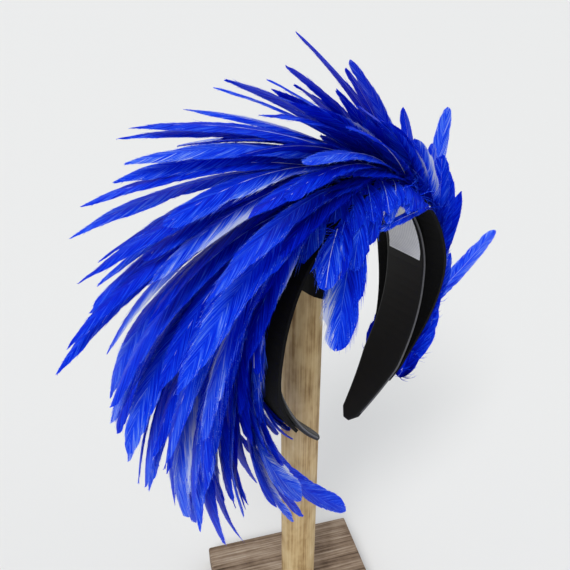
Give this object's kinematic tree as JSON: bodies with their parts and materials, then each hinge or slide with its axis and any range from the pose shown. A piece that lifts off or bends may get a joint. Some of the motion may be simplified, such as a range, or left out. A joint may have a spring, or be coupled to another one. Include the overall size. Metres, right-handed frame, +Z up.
{
  "type": "feather headband on a stand",
  "caption": "Rigid arched headband with a sweeping plume of long dyed feathers, resting on a plain wooden post with a square foot.",
  "frame": {"origin": "centre of the stand's underside, on the post's axis", "axes": "+Z up along the post, X from arm to arm across the headband's arch, -Y towards the side that the arch stands in front of the post on"},
  "size_m": [0.3296, 0.1674, 0.4488],
  "materials": {
    "feather": "dyed feather with a soft sheen",
    "band_fabric": "black satin",
    "backing_felt": "black felt",
    "label_cloth": "white woven satin, bare",
    "post_wood": "bare planed wood",
    "weathered_wood": "grey weathered wood",
    "cap_black": "matt black"
  },
  "bodies": {
    "root": {"stand_base": "weathered_wood", "stand_post": "post_wood", "stand_cap": "cap_black", "band": "band_fabric", "backing": "backing_felt", "label": "label_cloth", "plumage": "feather", "forelock": "feather"}
  },
  "joints": []
}
